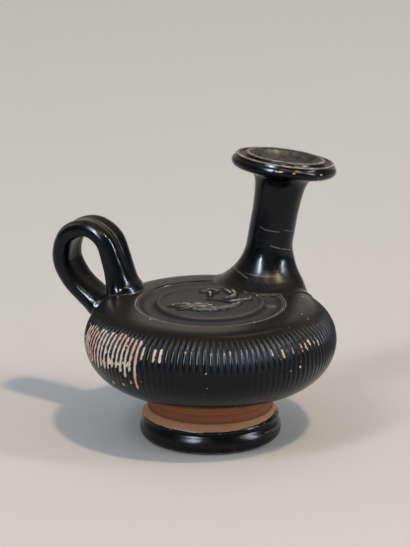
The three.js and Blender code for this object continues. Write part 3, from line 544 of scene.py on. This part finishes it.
# Scratches on the tube as (degrees round, height in millimetres), drawn over the skin at its own radius
scratches = [
    ([(236.6, 24.6), (251.4, 23.7), (285.5, 23.6)], 0.6), ([(297.3, 24.7), (320, 24.0), (342.5, 23.4)], 0.5),
    ([(270.3, 17.3), (296.0, 16.5), (335.5, 15.7)], 0.75), ([(178.9, 4.9), (218.0, 4.0), (239.2, 2.8)], 0.6),
    ([(229.6, 4.4), (256.3, 4.5), (274.2, 4.9), (291.7, 5.3)], 0.4),
]
degrees_round = np.degrees(azimuth) % 360
around = np.radians(degrees_round) * NECK_RADIUS
up_the_axis = level_up + toward * (math.sin(NECK_LEAN) - np.sin(tilt)) / math.cos(NECK_LEAN)
over = np.zeros(len(points))
for line, strength in scratches:
    drawn = [(math.radians(place) * NECK_RADIUS, up) for place, up in line]
    over = np.maximum(over, strength * near_line(around, up_the_axis, drawn, 0.24))
tube = (radial > NECK_RADIUS - 0.3) & (row < 40) & (row > 0)
# The crests of the two mouth rings are scuffed and rubbed pale, more on the front: partly wear and partly painted
# highlight
crest_wear_and_highlight = np.maximum(near(radial, MOUTH_RADIUS - 1.9, 0.2, 0.7), near(radial, LIP_RADIUS + 0.2, 0.3, 0.85))
crest_wear_and_highlight *= row > NECK_LENGTH - 1.5
front = ramp(-np.sin(azimuth), -0.6, 0.2)
dish = 0.18 * ramp(radial, BORE + 0.5, BORE + 3) * (radial < LIP_RADIUS - 0.6) * (row > NECK_LENGTH - 8)
seam = 0.32 * near(row, 0.36, 0.05, 0.3) * outer * ramp(degrees_round, 240, 256) * (1 - ramp(degrees_round, 282, 294))
keep_value(neck, "scuffed", np.maximum.reduce([tube * over, (0.7 + 0.3 * front) * crest_wear_and_highlight, dish, seam]))
# The roll under the mouth is rubbed in three stretches along its front
worn_arcs = np.maximum.reduce([near(degrees_round, 242.5, 5, 8), near(degrees_round, 271, 12, 17),
                               near(degrees_round, 315, 9, 15)])
roll = near(row, 51.5, 0.15, 0.75) * (radial > MOUTH_RADIUS - 0.9)
# Painted highlight: a warm pale spot in the dish stands for a warm lamp's reflection
painted_warm_highlight = near(np.hypot(points[:, 0] - 29.0, points[:, 1] - 46.0), 0, 0.6, 2.2) * (dish > 0)
keep_value(neck, "rubbed", np.maximum.reduce([0.37 * worn_arcs * roll, 0.4 * painted_warm_highlight, 0.44 * front * crest_wear_and_highlight]))
# The second colour is painted light: it goes on the surfaces that face up
neck.data.materials.append(fired_slip("glossy black slip on the neck", "04090F", "221E19", 0.13, 0.18,
                                       ("D8C4A8", "B88A6C")))
settle(neck, "neck")

# Handle
# A strap of two clay rolls pressed side by side, pulled, bent into a ring while wet and luted to the shoulder and to
# the side. It is thinnest over the top, and its inner face is pressed flatter.
LOOP_DISTANCE, LOOP_HEIGHT, LOOP_RADIUS, HANDLE_AZIMUTH = 57.0, 69.1, 12.9, math.radians(150.8)
STRAP_WIDTH, ROOT_WIDTH, CREASE, INNER_CREASE_SHARE = 16.2, 18.0, 0.6, 0.5
STRAP_THICKNESS, CROWN_THICKNESS, INNER_ROOT_THICKNESS, OUTER_ROOT_THICKNESS = 8.9, 7.5, 13.0, 10.6
INNER_FLARE, OUTER_FLARE, FLARE_REACH, INNER_SEAT, OUTER_SEAT = 1.2, 0.9, 0.12, 0.075, 0.93
INNER_FACE, FLATNESS, ROLL_TURN, OVAL_TURN = 0.8, 0.5, 118, 84
SECTION_POINTS, STEPS = 40, 72


def on_loop(degrees, stretch=1.0):
    """A place on the ring that the strap is bent to"""
    angle, radius = math.radians(degrees), LOOP_RADIUS * stretch
    return Vector((LOOP_DISTANCE + radius * math.cos(angle), 0, LOOP_HEIGHT + radius * math.sin(angle)))


stations = [Vector((39.8, 0, 53.6)), Vector((42.6, 0, 60.1)), on_loop(176, 0.89), on_loop(128, 0.955), on_loop(90, 1.05),
            on_loop(46, 1.06), on_loop(-4, 0.98), on_loop(-50, 0.98), Vector((55.0, 0, 51.4)), Vector((49.0, 0, 47.4))]


def strap_middle(t):
    """A place along the strap, from 0 at the shoulder to 1 at the side, on an even curve through the stations"""
    knots = [2 * stations[0] - stations[1], *stations, 2 * stations[-1] - stations[-2]]
    along = t * (len(stations) - 1)
    i = min(max(int(along), 0), len(stations) - 2)
    s = along - i
    before, a, b, after = knots[i:i + 4]
    k0, k1, k2 = ((q - p).length ** 0.5 for p, q in ((before, a), (a, b), (b, after)))
    pull_a = ((a - before) / k0 - (b - before) / (k0 + k1) + (b - a) / k1) * k1
    pull_b = ((b - a) / k1 - (after - a) / (k1 + k2) + (after - b) / k2) * k1
    return a + pull_a * s + (3 * (b - a) - 2 * pull_a - pull_b) * s ** 2 + (2 * (a - b) + pull_a + pull_b) * s ** 3


def strap_section(width, thickness, crease, rooted):
    """Outline of the strap: two rolls side by side, flatter inside the ring, that grow into one oval at the roots"""
    outline = []
    last = SECTION_POINTS // 2 - 2
    for side in (1, -1):
        for j in range(last + 1):
            turn = 2 * j / last - 1
            roll, oval = math.radians(ROLL_TURN * turn), math.radians(OVAL_TURN * turn)
            lift = side * math.sin(roll)
            face = -INNER_FACE * abs(lift) ** FLATNESS if lift < 0 else lift
            across = side * width * ((1 - rooted) * (1 + math.cos(roll)) / 2 + rooted * math.cos(oval)) / 2
            outline.append((across, thickness * ((1 - rooted) * face + rooted * side * math.sin(oval)) / 2))
        share = 1 if side > 0 else (1 - rooted) * INNER_FACE + rooted
        depth = crease if side > 0 else INNER_CREASE_SHARE * crease
        outline.append((0, side * share * (thickness / 2 - (1 - rooted) * depth)))
    return outline


bpy.ops.object.select_all(action='DESELECT')
bpy.ops.mesh.primitive_circle_add(vertices=SECTION_POINTS, radius=5, fill_type='NGON', location=(0, 0, 0))
handle = bpy.context.object
handle.name = handle.data.name = "ring_handle"
bpy.ops.object.mode_set(mode='EDIT')
for i in range(STEPS):
    bpy.ops.mesh.extrude_region_move()
bpy.ops.object.mode_set(mode='OBJECT')
rows = []
for i in range(STEPS + 1):
    t = i / STEPS - 0.1 * math.sin(2 * math.pi * i / STEPS)
    inner = t < 0.5
    outward = (strap_middle(t + 0.001) - strap_middle(t - 0.001)).cross(Vector((0, 1, 0))).normalized()
    spread = abs(2 * t - 1) ** (2.4 if inner else 4)
    from_seat = min(max(((t - INNER_SEAT) if inner else (OUTER_SEAT - t)) / FLARE_REACH, 0), 1)
    flare = 2 * (INNER_FLARE if inner else OUTER_FLARE) * (1 - from_seat) ** 2
    crown = max(0, 1 - abs(t - 0.4) / 0.22)
    plain = STRAP_THICKNESS + (CROWN_THICKNESS - STRAP_THICKNESS) * crown
    root_thickness = INNER_ROOT_THICKNESS if inner else OUTER_ROOT_THICKNESS
    width = STRAP_WIDTH + (ROOT_WIDTH - STRAP_WIDTH) * spread + flare
    thickness = plain + (root_thickness - plain) * spread + flare
    outline = strap_section(width, thickness, CREASE, min(1, 1.6 * spread))
    rows += [strap_middle(t) + Vector((0, across, 0)) + outward * lift for across, lift in outline]
move_points(handle, np.array([list(place) for place in rows]))
# How far round the section, and which points lie on its outer face
place_in_ring = np.tile(np.arange(SECTION_POINTS), STEPS + 1)
keep_value(handle, "stroke", np.abs(place_in_ring - SECTION_POINTS / 2) * 1.2)
keep_value(handle, "outside", (place_in_ring > SECTION_POINTS / 4) & (place_in_ring < SECTION_POINTS * 3 / 4 - 1))
bpy.ops.object.mode_set(mode='EDIT')
bpy.ops.mesh.select_all(action='SELECT')
bpy.ops.mesh.normals_make_consistent(inside=False)
bpy.ops.object.mode_set(mode='OBJECT')
smooth_steps(handle, 2)
points = points_of(handle)
outer_face = np.empty(len(points), dtype=np.float32)
handle.data.attributes["outside"].data.foreach_get("value", outer_face)
round_loop = np.degrees(np.arctan2(points[:, 2] - LOOP_HEIGHT, points[:, 0] - LOOP_DISTANCE))
crease_line = near(points[:, 1], 0, 0.05, 0.3) * (outer_face > 0.5) * near(round_loop, 130, 28, 40)
skin_level = np.hypot((points[:, 0] - BODY_RADIUS + SHOULDER_RUN) / SHOULDER_RUN, (points[:, 2] - WIDEST) / SHOULDER_RISE)
over_body = np.where(points[:, 0] > BODY_RADIUS - SHOULDER_RUN, (skin_level - 1) * SHOULDER_RISE,
                     points[:, 2] - SHOULDER_TOP)
seam = 0.2 * near(over_body, 0.25, 0.1, 0.4)
# Painted highlight: a thin pale line along the near edge of the outer leg
near_edge_highlight = 0.3 * near(points[:, 1], STRAP_WIDTH / 2 - 1.4, 0.2, 0.6) * (outer_face > 0.5) * near(round_loop, 20, 40, 70)
keep_value(handle, "scuffed", np.maximum.reduce([0.5 * crease_line, seam, near_edge_highlight]))
chip = near(np.hypot(points[:, 0] - 38.9, points[:, 2] - 59.5), 0, 0.5, 1.0) * (points[:, 1] > 6)
keep_value(handle, "rubbed", 0.6 * chip)
along, across = points[:, 0].copy(), points[:, 1].copy()
points[:, 0] = along * math.cos(HANDLE_AZIMUTH) - across * math.sin(HANDLE_AZIMUTH)
points[:, 1] = along * math.sin(HANDLE_AZIMUTH) + across * math.cos(HANDLE_AZIMUTH)
move_points(handle, points)
# The second colour is painted light: it goes on the surfaces that face up
handle.data.materials.append(fired_slip("glossy black slip on the handle", "04080E", "201D18", 0.13, 0.18))
settle(handle, "handle")

# Floor
# A plain pale sheet of matt paper that the vessel stands on. It keeps the vessel's shadow.
bpy.ops.object.select_all(action='DESELECT')
bpy.ops.mesh.primitive_plane_add(size=9, location=(0, 0, 0))
floor = bpy.context.object
floor.name = "pale_floor"
paper = bpy.data.materials.new("pale matt paper")
paper.use_nodes = True
paper.node_tree.nodes["Principled BSDF"].inputs['Base Color'].default_value = colour("D8D2C6")
paper.node_tree.nodes["Principled BSDF"].inputs['Roughness'].default_value = 0.9
paper.node_tree.nodes["Principled BSDF"].inputs['Specular IOR Level'].default_value = 0
floor.data.materials.append(paper)


# Light and camera
# A key lamp high in front gives the shadow its shape. Two tall soft windows stand left and right of the vessel, and
# the room is pale at the vessel's level. The camera is far away with a long lens, a little above the vessel.
def soft_light(name, azimuth, elevation, distance, size, power, tint="FFFFFF"):
    """A rectangular lamp that looks at the vessel from a direction given in degrees"""
    lamp = bpy.data.lights.new(name, 'AREA')
    lamp.shape = 'RECTANGLE'
    lamp.size, lamp.size_y = size
    lamp.energy = power
    lamp.color = colour(tint)[:3]
    holder = bpy.data.objects.new(name, lamp)
    a, e = math.radians(azimuth), math.radians(elevation)
    direction = Vector((math.cos(a) * math.cos(e), math.sin(a) * math.cos(e), math.sin(e)))
    holder.location = direction * distance + Vector((0, 0, 0.05))
    holder.rotation_euler = (-direction).to_track_quat('-Z', 'Y').to_euler()
    bpy.context.scene.collection.objects.link(holder)
    return holder


soft_light("key_lamp", 306, 63, 3, (0.2, 0.2), 32, "FFE8CC").visible_glossy = False
soft_light("window_left", 228, 46, 3, (0.4, 1.8), 26, "E4EEFF")
soft_light("window_right", 344, 32, 3, (0.35, 1.8), 24, "F0F5FF").visible_glossy = False
# The panes are seen in the glossy slip brighter than they light the dull clay
for pane in (soft_light("pane_left", 239, 42, 2.9, (0.3, 1.9), 165, "DCEAFF"),
             soft_light("pane_right", 346, 30, 2.9, (0.13, 1.5), 75, "EAF2FF"),
             soft_light("lamp_seen", 334, 58, 2.9, (0.07, 0.07), 30, "FFE2B8"),
             soft_light("lamp_seen_in_front", 284, 66, 2.9, (0.3, 0.1), 14, "FFE8C8")):
    pane.visible_diffuse = False
world = bpy.data.worlds.new("pale room")
world.use_nodes = True
tree = world.node_tree
room = tree.nodes["Background"]
# Glossy slip sees warm walls round it, palest behind, and a darker ceiling. What lights dull surfaces is cooler.
rays = add_node(tree, 'ShaderNodeLightPath').node.outputs
direction = add_node(tree, 'ShaderNodeTexCoord').node.outputs['Generated']
upward = add_node(tree, 'ShaderNodeSeparateXYZ', links={0: direction}).node.outputs['Z']
ahead = add_node(tree, 'ShaderNodeSeparateXYZ', links={0: direction}).node.outputs['Y']
ceiling = add_node(tree, 'ShaderNodeMapRange', {'From Min': 0.25, 'From Max': 0.8, 'To Min': 1, 'To Max': 0.2},
                   {'Value': upward})
walls = add_node(tree, 'ShaderNodeMapRange', {'From Min': -0.4, 'From Max': 0.6, 'To Min': 0.33, 'To Max': 0.76},
                 {'Value': ahead})
aside = add_node(tree, 'ShaderNodeSeparateXYZ', links={0: direction}).node.outputs['X']
off_middle = add_node(tree, 'ShaderNodeMath', {'operation': 'ABSOLUTE'}, {0: aside})
corners = add_node(tree, 'ShaderNodeMapRange', {'From Min': 0.25, 'From Max': 0.65, 'To Min': 1, 'To Max': 0.4},
                   {'Value': off_middle})
level_walls = add_node(tree, 'ShaderNodeMath', {'operation': 'MULTIPLY'}, {0: walls, 1: corners})
mirrored = add_node(tree, 'ShaderNodeMath', {'operation': 'MULTIPLY'}, {0: ceiling, 1: level_walls})
tree.links.new(add_node(tree, 'ShaderNodeMix', {'data_type': 'RGBA', 6: colour("D6E2F6"), 7: colour("F4ECE0")},
                        {0: rays['Is Glossy Ray']}), room.inputs['Color'])
ROOM_LIGHT, ROOM_SEEN = 0.52, 0.68
lit_or_mirrored = add_node(tree, 'ShaderNodeMix', {'data_type': 'FLOAT', 2: ROOM_LIGHT},
                           {0: rays['Is Glossy Ray'], 3: mirrored}).node.outputs[0]
strength = add_node(tree, 'ShaderNodeMix', {'data_type': 'FLOAT', 3: ROOM_SEEN},
                    {0: rays['Is Camera Ray'], 2: lit_or_mirrored}).node.outputs[0]
tree.links.new(strength, room.inputs['Strength'])
bpy.context.scene.world = world
bpy.context.scene.view_settings.view_transform = 'Standard'

camera_data = bpy.data.cameras.new("camera")
camera_data.lens = 329.07
camera_data.sensor_width = 36
camera = bpy.data.objects.new("camera", camera_data)
camera.location = (axis_place.x * MM - 0.0023, axis_place.y * MM - 1.9942, 0.7)
camera.rotation_euler = (math.radians(90 - 17.515), 0, 0)
bpy.context.scene.collection.objects.link(camera)
bpy.context.scene.camera = camera
